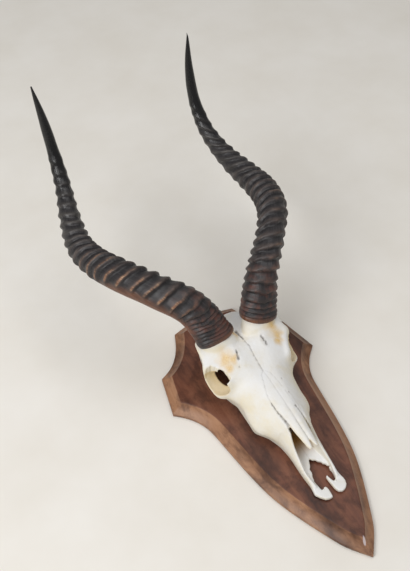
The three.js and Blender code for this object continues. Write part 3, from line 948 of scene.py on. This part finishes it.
def mark_share(x, y, line, widths):
    """How well a place lies on a mark seen from above, from 0 beside it to 1 on it."""
    best = 0.0
    spans = len(line) - 1
    for number, ((x0, y0), (x1, y1)) in enumerate(zip(line, line[1:])):
        dx, dy = x1 - x0, y1 - y0
        share = min(max(((x - x0) * dx + (y - y0) * dy) / (dx * dx + dy * dy), 0.0), 1.0)
        width = widths[0] + (widths[1] - widths[0]) * (number + share) / spans
        gap = math.hypot(x - x0 - share * dx, y - y0 - share * dy)
        best = max(best, 1.0 - ease(width * MARK_EDGE[0], width * MARK_EDGE[1], gap))
    return best


def in_socket(place):
    """How well a place lies on the bowl of an eye socket, from 0 outside to 1 on its wall."""
    side = math.copysign(1.0, place.x)
    facing = sided(SOCKET_FACING, side)
    from_centre = place / MM - sided(SOCKET["centre"], side)
    out = from_centre.dot(facing) / SOCKET["out"]
    along = from_centre.y / SOCKET["along"]
    down = from_centre.dot(facing.cross(Vector((0, 1, 0)))) / SOCKET["down"]
    return 1.0 - ease(*SOCKET_WALL, math.sqrt(out * out + along * along + down * down))


def in_nose(x, y, z):
    """How well a place lies inside the nose, from 0 outside to 1 deep in it."""
    if y >= NOSE_BACK:
        return 0.0
    return (1.0 - ease(*NOSE_HALF, abs(x))) * (1.0 - ease(*NOSE_TOP, z)) * ease(*NOSE_RUN, y)


def top_marks(x, y, wander_x, wander_y):
    """Depth and darkness of the marks at a place seen from above, and how tan it is."""
    groove, dark, tan = 0.0, 0.0, 0.0
    faint = FAINT_MIDDLE + FAINT_SPREAD * wobble(x, y, FAINT_PITCH, FAINT_SEED)
    for line, widths, depth, darkness in MARKS:
        near = mark_share(wander_x, wander_y, line, widths)
        groove = max(groove, near * depth)
        dark = max(dark, near * min(1.0, darkness * faint))
    stain_x, stain_y = warped(x, y, STAIN_WARP, STAIN_PITCH, STAIN_SEEDS)
    for (middle_x, middle_y), radius in TAN_STAINS:
        tan = max(tan, 1.0 - ease(0.0, radius, math.hypot(stain_x - middle_x, stain_y - middle_y)))
    return groove, dark, tan


def back_relief(x, z, wander_x, facing):
    """How far the back of the skull is raised at a place seen from behind."""
    raised = 0.0
    for line, widths, height in BACK_RIDGES:
        raised = max(raised, height * mark_share(wander_x, z, line, widths))
    for (middle_x, middle_z), radius, height in BACK_SWELLS:
        raised += height * (1.0 - ease(0.0, radius, math.hypot(x - middle_x, z - middle_z)))
    return raised * ease(BACK_FACING, BACK_FULL, facing)


# %% Marking the skull
shares = {"socket": [], "suture_and_pit_shade": [], "tan_stain": [], "amber": [], "flank_light": []}
skull_normals = [vert.normal.copy() for vert in skull_mesh.vertices]
for vert, normal in zip(skull_mesh.vertices, skull_normals):
    x, y, z = vert.co / MM
    wander_x, wander_y = warped(x, y, SUTURE_WANDER, SUTURE_PITCH, SUTURE_SEEDS)
    groove, dark, tan, raised = 0.0, 0.0, 0.0, 0.0
    if normal.z > TOP_FACING:
        groove, dark, tan = top_marks(x, y, wander_x, wander_y)
    if normal.y > BACK_FACING:
        raised = back_relief(x, z, wander_x, normal.y)
    if z > SAW_CUT + SAW_MARGIN:
        swell = sum(share * noise.noise(Vector((x, y, z)) * pitch) for pitch, share in UNEVEN_PARTS)
        vert.co += normal * (UNEVEN * swell + raised - groove) * MM
    # The bowl of an eye socket, for its painted shade in the finish
    shares["socket"].append(in_socket(vert.co))
    # Darkness of the sutures, and the painted shade in the pits of the nerve holes
    shares["suture_and_pit_shade"].append(dark)
    shares["tan_stain"].append(tan)
    shares["amber"].append(in_nose(x, y, z))
    # How far a point faces away from the top, for the painted warm light on the flanks
    shares["flank_light"].append(1.0 - ease(*FLANK_LIGHT_FACING, normal.z))
paint(skull_mesh, **shares)
print("skull marked at", len(skull_normals), "points")

# %% [markdown]
# Boiled and bleached bone is off-white, with fine pores. Broad cloudy noise gives its tone, finer noise the
# specks, and the stored numbers bring in the dark sutures, the two tan stains beside the nerve holes and the
# amber inside of the nose. The stored numbers also paint in light and shade: the flanks, which turn away from
# the top, are painted creamier as warm reflected light, the bowls of the eye sockets get a painted tan shade,
# and the pits of the nerve holes get painted shade as dark as the sutures.

# %% Bone
BONE_EDGE = math.radians(60.0)
bone = Finish("bleached_bone", {"Specular IOR Level": 0.4})
bone_cloud = bone.noise(bone.place(), scale=42.0, detail=5.0, rough=0.6)
bone_speck = bone.noise(bone.place(), scale=620.0, detail=3.0, rough=0.6)
bone_fibre = bone.noise(bone.place((900.0, 90.0, 900.0)), detail=3.0)
bone_color = bone.ramp(bone_cloud, (0.28, (229, 223, 209)), (0.45, (233, 231, 227)), (0.66, (236, 236, 236)))
# Painted light: faces that turn away from the top are painted creamier, as warm light thrown back onto the
# flanks.
bone_flank_light = bone.times(bone.attribute("flank_light"), bone.level(bone_cloud, 0.3, 0.65, 0.75, 0.3))
bone_color = bone.mix(bone_flank_light, bone_color, shade(240, 229, 199))
bone_color = bone.mix(bone.level(bone_speck, 0.62, 0.8, 0.0, 0.25), bone_color, shade(208, 190, 154))
bone_tan = bone.times(bone.attribute("tan_stain"), bone.level(bone_cloud, 0.25, 0.6, 0.5, 1.0))
bone_ochre = bone.ramp(bone_speck, (0.3, (216, 172, 96)), (0.7, (236, 204, 138)))
bone_color = bone.mix(bone_tan, bone_color, bone_ochre)
# Painted shade: the bowls of the eye sockets are painted a darker tan.
bone_socket_shade = bone.times(bone.attribute("socket"), bone.level(bone_cloud, 0.3, 0.6, 0.85, 0.6))
bone_color = bone.mix(bone_socket_shade, bone_color, shade(222, 198, 146))
bone_color = bone.mix(bone.attribute("amber"), bone_color, shade(160, 118, 58))
# Dark sutures are the bone's own colour; the same dark in the pits of the nerve holes is painted shade.
bone_color = bone.mix(bone.times(bone.attribute("suture_and_pit_shade"), 0.85), bone_color, shade(70, 55, 42))
bone_bump = bone.bump(bone_speck, 0.18, 0.0005, bone.bump(bone_fibre, 0.1, 0.0005))
bone.wear(bone_color, bone.level(bone_cloud, 0.2, 0.8, 0.66, 0.5), bone_bump)
finished("skull_bone", skull_mesh, "skull", bone.material, sharp=BONE_EDGE)

# %% [markdown]
# ## The horns
# A horn is a tapering sheath of keratin on an S-shaped line. It starts with thin tight rings, goes over
# into bold saw-toothed rings that are steep towards the base, and ends smooth and black. A displaced
# cylinder would blur the crests, so the sheath is extruded ring by ring with rings on each crest.

# %% Rings of the horn
# Distance from the root and spacing of the rings there, for each side
RING_SPACING = {
    -1: [(11, 5.2), (42, 6.2), (54, 10), (72, 13), (92, 15.8), (215, 15.6), (250, 14.2), (330, 15)],
    1: [
        (11, 5.2), (17, 6.4), (24, 7.6), (32, 11), (60, 11.5), (85, 14), (100, 15.6), (215, 15.6),
        (250, 14.2), (330, 15),
    ],
}
# Distance from the root and depth of the grooves there
RING_DEPTH = [
    (8, 1.5), (18, 2.2), (28, 2.5), (38, 2.8), (60, 3.0), (90, 3.5), (230, 3.3), (270, 2.8), (310, 2.1),
    (335, 1.3), (350, 0.8), (365, 0.55), (385, 0.45), (400, 0.0),
]
# Distance from the root and slant of the rings there, outer side towards the tip, for each side
RING_SLANT = {
    -1: [(8, 0), (40, 1.5), (70, 5), (90, 8), (120, 8.5), (170, 7), (230, 4), (300, 1.5), (400, 0)],
    1: [
        (8, 0), (40, 1), (70, 5), (90, 8.5), (120, 10), (160, 8.5), (210, 1), (250, -8), (290, -12.5),
        (340, -11.5), (400, -3),
    ],
}
# Distance from the root and sag of the rings' front towards the base
RING_SAG = [(8, 0), (100, 0), (170, 2), (230, 5), (310, 6), (372, 3), (400, 0)]
RINGED_END = 380.0
FIRST_CREST = 12.5
RING_JITTER = 0.1
JITTER_PITCH = 0.31
CREST_SHARE = 0.22
# Share of the ring's spacing and height of the tooth there, for the lower and for the upper rings
SAW_TOOTH = [
    (0, 0), (0.06, 0.22), (0.12, 0.6), (0.18, 0.9), (0.24, 1), (0.34, 0.95), (0.48, 0.7), (0.62, 0.4),
    (0.78, 0.14), (0.91, 0.02),
]
ROUND_TOOTH = [
    (0, 0), (0.08, 0.16), (0.15, 0.42), (0.22, 0.74), (0.3, 0.97), (0.38, 1), (0.48, 0.84),
    (0.62, 0.46), (0.76, 0.18), (0.9, 0.04),
]
ROUND_FROM, ROUND_TO = 190.0, 260.0
# Share of the horn's length and radius of the crests there
HORN_TAPER = [
    (0, 22.4), (0.06, 22.1), (0.12, 21.0), (0.2, 20.2), (0.3, 19.6), (0.45, 18.9), (0.57, 16.1), (0.68, 12.0),
    (0.78, 8.8), (0.88, 6.1), (0.95, 3.5), (1, 0.9),
]
# Distance from the rim and share of the radius where the rim curls in
RIM_CURL = [(-4.0, 0.74), (-3.6, 0.89), (-2.4, 0.96), (0.2, 0.985), (3.0, 1.0)]
CURL_TOOTH = 0.5
TIP_STEP = 2.4


def horn_rows(side, seed):
    """Distance from the root, ring number, tooth height and share of the radius of every row of vertices."""
    crests = [FIRST_CREST]
    while crests[-1] < RINGED_END:
        jitter = 1.0 + RING_JITTER * noise.noise(Vector((crests[-1] * JITTER_PITCH, seed, 0.5)))
        crests.append(crests[-1] + between(RING_SPACING[side], crests[-1]) * jitter)
    feet = [here - CREST_SHARE * (after - here) for here, after in zip(crests, crests[1:])]
    rows = [(RIM_PLACE + at, 0.0, CURL_TOOTH, curl) for at, curl in RIM_CURL]
    for number, (foot, after) in enumerate(zip(feet, feet[1:])):
        rounded = ease(ROUND_FROM, ROUND_TO, foot)
        for (sharp_at, sharp), (round_at, soft) in zip(SAW_TOOTH, ROUND_TOOTH):
            at = sharp_at + (round_at - sharp_at) * rounded
            rows.append((foot + at * (after - foot), number + at, sharp + (soft - sharp) * rounded, 1.0))
    place = feet[-1]
    while place < HORN_LENGTH:
        rows.append((place, float(len(feet)), 0.0, 1.0))
        place += TIP_STEP
    rows.append((HORN_LENGTH, float(len(feet)), 0.0, 1.0))
    return rows


print("rows of the left horn", len(horn_rows(-1, seed=1.0)))

# %% [markdown]
# The rings are not alike all round. On the outer underside they are worn smooth, on the front they dip,
# and each one slants, wanders and varies in height, as growth rings do. These rules, with their measures
# by distance from the root, give every vertex its place and the numbers that the finish reads.

# %% Measures of the sheaths
HORN_SIDES = 88
TAPER_STEPS = 8
# The rings fade on the outer underside of the lower half, and nearer the back above; in degrees round the
# horn, by distance from the root
FADE_AT = {-1: [(0, 38), (120, 42), (152, 66), (190, 96)], 1: [(0, 68), (190, 72), (245, 108)]}
FADE_FULL, FADE_NONE = math.radians(42.0), math.radians(74.0)
FADE_FROM, FADE_TO = 325.0, 370.0
SMOOTH_GROOVE, SMOOTH_CREST = 0.2, 0.5
# The left horn's low rings are shallower on the inner side
SHALLOW = {-1: 0.6, 1: 0.0}
SHALLOW_AT = math.radians(215.0)
SHALLOW_FROM, SHALLOW_TO = 65.0, 105.0
# Distance from the root and how smooth the smooth side is there
SMOOTHNESS = {-1: [(190, 1), (240, 0.7)], 1: [(24, 0.25), (58, 1), (190, 1), (240, 0.45)]}
# Distance from the root and how much fuller the outer side is there, and the inner side of both horns
OUTER_FULLNESS = {
    -1: [(35, 0), (75, 2.4), (140, 2.4), (200, 0)],
    1: [(35, 0), (60, -3), (105, -3), (140, 0.5), (190, 2.0), (230, 3.5), (270, 2.5), (310, 0)],
}
OUTER_AT = math.radians(25.0)
INNER_FULLNESS = [(8, 2.2), (40, 2.8), (75, 1.2), (115, 0)]
# The rim flares out, more on the right horn
FLARE = {-1: 1.6, 1: 2.3}
FLARE_RUN = 9.0
# Each ring wanders along the horn, dips on its front and is uneven in height; all of it is full at some
# distance from the rim and fades with the last rings
RING_WANDER, FINE_SHARE = 1.9, 0.4
RING_UNEVEN = 0.4
RING_DIP = 1.5
DIP_AT = math.radians(270.0)
DIP_WIDTH = math.radians(24.0)
DIP_FROM, DIP_TO = 60.0, 150.0
SHIFT_FULL = 26.0
LAST_RINGS = (360.0, 390.0)
GRAIN_DEPTH = 0.22
GRAIN_TIP = 60.0
# Pitch round the horn, pitch along it and seed of each unevenness
BROAD_WANDER = (1.4, 0.55, 0)
FINE_WANDER = (3.6, 0.8, 70)
RING_HEIGHT = (1.3, 0.9, 40)
GRAIN = (12.0, 0.05, 0)
# Runs along the horn, from the start to the end, of the rubbed gold crests with their painted highlight and
# of the reddish smooth side
GILT_AND_HIGHLIGHT_RUN = (45.0, 80.0, 165.0, 212.0)
# Angle round the horn where the gold crests carry their painted highlight, then where it is full and where it
# ends
GILT_AND_HIGHLIGHT_AT = math.radians(-36.0)
GILT_AND_HIGHLIGHT_FULL, GILT_AND_HIGHLIGHT_NONE = math.radians(24.0), math.radians(78.0)
RED_RUN = (14.0, 40.0, 140.0, 180.0)
# The pale root shows most on the inner front of the rim
ROOT_RUN = 5.5
ROOT_AT = math.radians(215.0)
ROOT_EVEN = 0.35
taper_run = spline([Vector((share, radius, 0)) for share, radius in HORN_TAPER], TAPER_STEPS)
taper_table = [(point.x, point.y) for point in taper_run]
print("taper of the horns in", len(taper_table), "steps")


# %% Places on the sheaths
def away_from(angle, middle):
    """How far an angle is from another, the shorter way round."""
    return abs(math.remainder(angle - middle, 2 * math.pi))


def along_run(run, distance):
    """Rises between the first two places of a run and falls between the last two."""
    return ease(run[0], run[1], distance) * (1.0 - ease(run[2], run[3], distance))


def round_noise(kind, seed, angle, place):
    """A number from about -1 to 1 that changes softly round and along a horn."""
    pitch_round, pitch_along, own_seed = kind
    along = place * pitch_along + seed + own_seed
    return noise.noise(Vector((math.cos(angle) * pitch_round, math.sin(angle) * pitch_round, along)))


def smoothness(side, distance, angle):
    """How smooth a horn is at a place, from 0 where the rings are full to 1 on its smooth side."""
    fade_at = math.radians(between(FADE_AT[side], distance))
    smooth = 1.0 - ease(FADE_FULL, FADE_NONE, away_from(angle, fade_at))
    smooth *= 1.0 - ease(FADE_FROM, FADE_TO, distance)
    return smooth * between(SMOOTHNESS[side], distance)


def ring_shift(side, seed, distance, number, angle):
    """How far a ring is moved along the horn by its slant, sag, wander and dip."""
    wander = round_noise(BROAD_WANDER, seed, angle, number)
    wander += FINE_SHARE * round_noise(FINE_WANDER, seed, angle, number)
    ringed = 1.0 - ease(*LAST_RINGS, distance)
    dip = math.exp(-((away_from(angle, DIP_AT) / DIP_WIDTH) ** 2)) * (1.0 - ease(DIP_FROM, DIP_TO, distance))
    slant = between(RING_SLANT[side], distance) * math.cos(angle)
    shift = slant + between(RING_SAG, distance) * math.sin(angle)
    shift += (RING_WANDER * wander - RING_DIP * dip) * ringed
    return shift * ease(RIM_PLACE, SHIFT_FULL, distance)


def groove_depth(side, seed, row, angle, smooth):
    """How deep a place lies below the crests."""
    distance, number, tooth, _ = row
    height = round_noise(RING_HEIGHT, seed, angle, number)
    shallow = SHALLOW[side] * max(0.0, math.cos(angle - SHALLOW_AT))
    shallow *= 1.0 - ease(SHALLOW_FROM, SHALLOW_TO, distance)
    depth = between(RING_DEPTH, distance) * (1.0 + RING_UNEVEN * height) * (1.0 - shallow)
    return depth * ((1.0 - tooth) * (1.0 - smooth) + SMOOTH_GROOVE * smooth)


def horn_point(side, seed, row, angle):
    """One vertex of a horn, with its numbers for the finish: crest, red side, gilt with painted highlight,
    and root.
    """
    distance, number, tooth, curl = row
    smooth = smoothness(side, distance, angle)
    place = distance + ring_shift(side, seed, distance, number, angle)
    radius = between(taper_table, place / HORN_LENGTH)
    radius += FLARE[side] * (1.0 - ease(RIM_PLACE, RIM_PLACE + FLARE_RUN, distance))
    radius += between(OUTER_FULLNESS[side], distance) * max(0.0, math.cos(angle - OUTER_AT))
    radius += between(INNER_FULLNESS, distance) * max(0.0, -math.cos(angle))
    grain = GRAIN_DEPTH * round_noise(GRAIN, seed, angle, distance)
    radius += grain * ease(0.0, GRAIN_TIP, HORN_LENGTH - distance)
    radius -= groove_depth(side, seed, row, angle, smooth)
    crest = tooth + (SMOOTH_CREST - tooth) * smooth
    reddish = smooth * along_run(RED_RUN, distance)
    # Rubbed gold on the crests, with a painted highlight on their outer upper side
    gilt = 1.0 - ease(GILT_AND_HIGHLIGHT_FULL, GILT_AND_HIGHLIGHT_NONE, away_from(angle, GILT_AND_HIGHLIGHT_AT))
    gilt *= along_run(GILT_AND_HIGHLIGHT_RUN, distance)
    root = max(0.0, ROOT_EVEN + (1.0 - ROOT_EVEN) * math.cos(angle - ROOT_AT))
    root *= 1.0 - ease(RIM_PLACE, RIM_PLACE + ROOT_RUN, distance)
    return round_horn(side, place, angle, radius * curl), crest, reddish, gilt, root


# %% Horn sheaths
def horn_mesh(name, side, seed, gilding_and_highlight):
    """The sheath of one horn, with ring, side and wrap numbers stored for its finish."""
    rows = horn_rows(side, seed)
    angles = turns(HORN_SIDES)
    table = [[horn_point(side, seed, row, angle) for angle in angles] for row in rows]
    build = bmesh.new()
    loft(build, [[spot[0] for spot in ring] for ring in table])
    mesh = bpy.data.meshes.new(name)
    build.to_mesh(mesh)
    build.free()
    _, crest, reddish, gilt, root = zip(*[spot for ring in table for spot in ring])
    gilt = [share * gilding_and_highlight for share in gilt]
    along = [row[0] / HORN_LENGTH for row in rows for _ in angles]
    paint(mesh, crest=crest, red_side=reddish, gilt=gilt, root=root, along=along)
    wrap = mesh.attributes.new("wrap", "FLOAT_VECTOR", "POINT")
    wrapped = [v for row in rows for angle in angles for v in (math.cos(angle), math.sin(angle), row[0] * MM)]
    wrap.data.foreach_set("vector", wrapped)
    return mesh


# The last number of each call sets how much rubbed gold and painted highlight the horn's crests get
left_horn_mesh = horn_mesh("left_horn", -1, seed=1.0, gilding_and_highlight=1.0)
right_horn_mesh = horn_mesh("right_horn", 1, seed=21.0, gilding_and_highlight=0.22)
print("horn sheath of", len(left_horn_mesh.polygons), "faces")

# %% [markdown]
# Keratin is nearly black at the tip and brown where it is thin or worn. The grooves are a dull blue-grey with
# fine lengthwise fibres, some crests are rubbed to a warm gold and carry a painted highlight on their outer
# upper side, the smooth outer side of the lower half is reddish amber, and the tip has a polish. A painted
# shadow darkens the foot of each crest. The stored ring numbers steer all of it.

# %% Horn
HORN_EDGE = math.radians(70.0)
horn = Finish("ringed_horn", {"Specular IOR Level": 0.5})
horn_wrap = horn.attribute("wrap", "Vector")
horn_along = horn.attribute("along")
horn_crest = horn.attribute("crest")
horn_fibres_at = horn.node("Mapping", {"Vector": horn_wrap, "Scale": (14.0, 14.0, 60.0)}).outputs["Vector"]
horn_fibres = horn.noise(horn_fibres_at, detail=4.0, rough=0.65)
horn_growth_at = horn.node("Mapping", {"Vector": horn_wrap, "Scale": (1.5, 1.5, 700.0)}).outputs["Vector"]
horn_growth = horn.noise(horn_growth_at, detail=3.0, rough=0.6)
horn_blotch = horn.noise(horn.place(), scale=70.0, detail=4.0, rough=0.6)
horn_speck = horn.noise(horn.place(), scale=700.0, detail=2.0)
horn_groove = horn.ramp(horn_fibres, (0.3, (29, 27, 29)), (0.52, (46, 43, 45)), (0.75, (71, 67, 68)))
horn_dull = horn.ramp(horn_blotch, (0.3, (44, 38, 38)), (0.5, (64, 55, 53)), (0.7, (94, 82, 76)))
horn_grey = horn.ramp(horn_blotch, (0.3, (50, 47, 46)), (0.5, (64, 60, 58)), (0.7, (82, 77, 74)))
# The gold crests run up to a pale highlight colour: part rubbed gold, part painted highlight
horn_gold_and_highlight = horn.ramp(horn_fibres, (0.3, (104, 70, 50)), (0.5, (154, 110, 80)), (0.72, (222, 190, 154)))
horn_amber = horn.ramp(horn_fibres, (0.3, (70, 43, 31)), (0.52, (110, 68, 45)), (0.76, (152, 102, 66)))
horn_upper = horn.level(horn_along, 0.44, 0.56, 0.0, 1.0)
horn_raised = horn.mix(horn_upper, horn_dull, horn_grey)
horn_color = horn.mix(horn.level(horn_crest, 0.3, 0.9, 0.0, 0.9), horn_groove, horn_raised)
# Rubbed gold and painted highlight on the tops of the crests
horn_gilt = horn.times(horn.attribute("gilt"), horn.level(horn_crest, 0.82, 1.0, 0.0, 1.0))
horn_gilt = horn.times(horn_gilt, horn.level(horn_blotch, 0.4, 0.6, 0.06, 0.95))
horn_color = horn.mix(horn_gilt, horn_color, horn_gold_and_highlight)
horn_color = horn.mix(horn.times(horn.attribute("red_side"), 0.9), horn_color, horn_amber)
horn_low = horn.level(horn_along, 0.09, 0.2, 1.0, 0.0)
horn_rusty = horn.times(horn.level(horn_blotch, 0.47, 0.66, 0.0, 0.5), horn_low)
horn_color = horn.mix(horn_rusty, horn_color, shade(116, 60, 42))
horn_root = horn.times(horn.attribute("root"), horn.level(horn_fibres, 0.35, 0.62, 0.15, 0.85))
horn_color = horn.mix(horn_root, horn_color, shade(130, 84, 54))
horn_ringed = horn.level(horn_along, 0.68, 0.74, 1.0, 0.0)
horn_shadow = horn.times(horn.level(horn_crest, 0.0, 0.14, 0.6, 0.0), horn_ringed)
horn_color = horn.mix(horn_shadow, horn_color, shade(14, 13, 14))
horn_color = horn.mix(horn.level(horn_along, 0.64, 0.78, 0.0, 0.92), horn_color, shade(13, 13, 14))
horn_gloss = horn.level(horn_along, 0.55, 0.75, 0.44, 0.21)
horn_rough = horn.plus(horn_gloss, horn.level(horn_fibres, 0.2, 0.8, -0.06, 0.08))
horn_rings = horn.bump(horn_growth, 0.35, 0.0008, horn.bump(horn_speck, 0.08, 0.0004))
horn_bump = horn.bump(horn_fibres, 0.25, 0.0008, horn_rings)
horn.wear(horn_color, horn_rough, horn_bump)
finished("left_horn", left_horn_mesh, "horn_left", horn.material, sharp=HORN_EDGE)
finished("right_horn", right_horn_mesh, "horn_right", horn.material, sharp=HORN_EDGE)

# %% [markdown]
# ## Screws and hanger
# The CAD screws and the keyhole plate have their real shape already, so they stay, and only their finish
# is made here: drawn steel with fine turning marks, and dull zinc plating with its cloudy crystals.

# %% Steel and zinc
steel = Finish("screw_steel", {"Metallic": 1.0})
steel_turned = steel.noise(steel.place((600.0, 600.0, 2600.0)), detail=3.0)
steel_cloud = steel.noise(steel.place(), scale=300.0, detail=3.0)
steel.wear(
    steel.ramp(steel_cloud, (0.3, (138, 136, 132)), (0.7, (172, 170, 165))),
    steel.level(steel_turned, 0.2, 0.8, 0.26, 0.44), steel.bump(steel_turned, 0.15, 0.0003),
)
zinc = Finish("plate_zinc", {"Metallic": 1.0})
zinc_bloom = zinc.noise(zinc.place(), scale=240.0, detail=5.0, rough=0.65)
zinc_brushed = zinc.noise(zinc.place((90.0, 2400.0, 90.0)), detail=2.0)
zinc.wear(
    zinc.ramp(zinc_bloom, (0.3, (150, 151, 150)), (0.55, (178, 178, 175)), (0.75, (196, 194, 186))),
    zinc.level(zinc_bloom, 0.2, 0.8, 0.34, 0.52), zinc.bump(zinc_brushed, 0.1, 0.0002),
)
screws = ("skull_screw_front", "skull_screw_back", "hanger_screw_left", "hanger_screw_right")
for node in (*screws, "hanger_plate"):
    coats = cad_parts[node].data.materials
    coats.clear()
    coats.append(steel.material if node in screws else zinc.material)
print("hardware refinished")
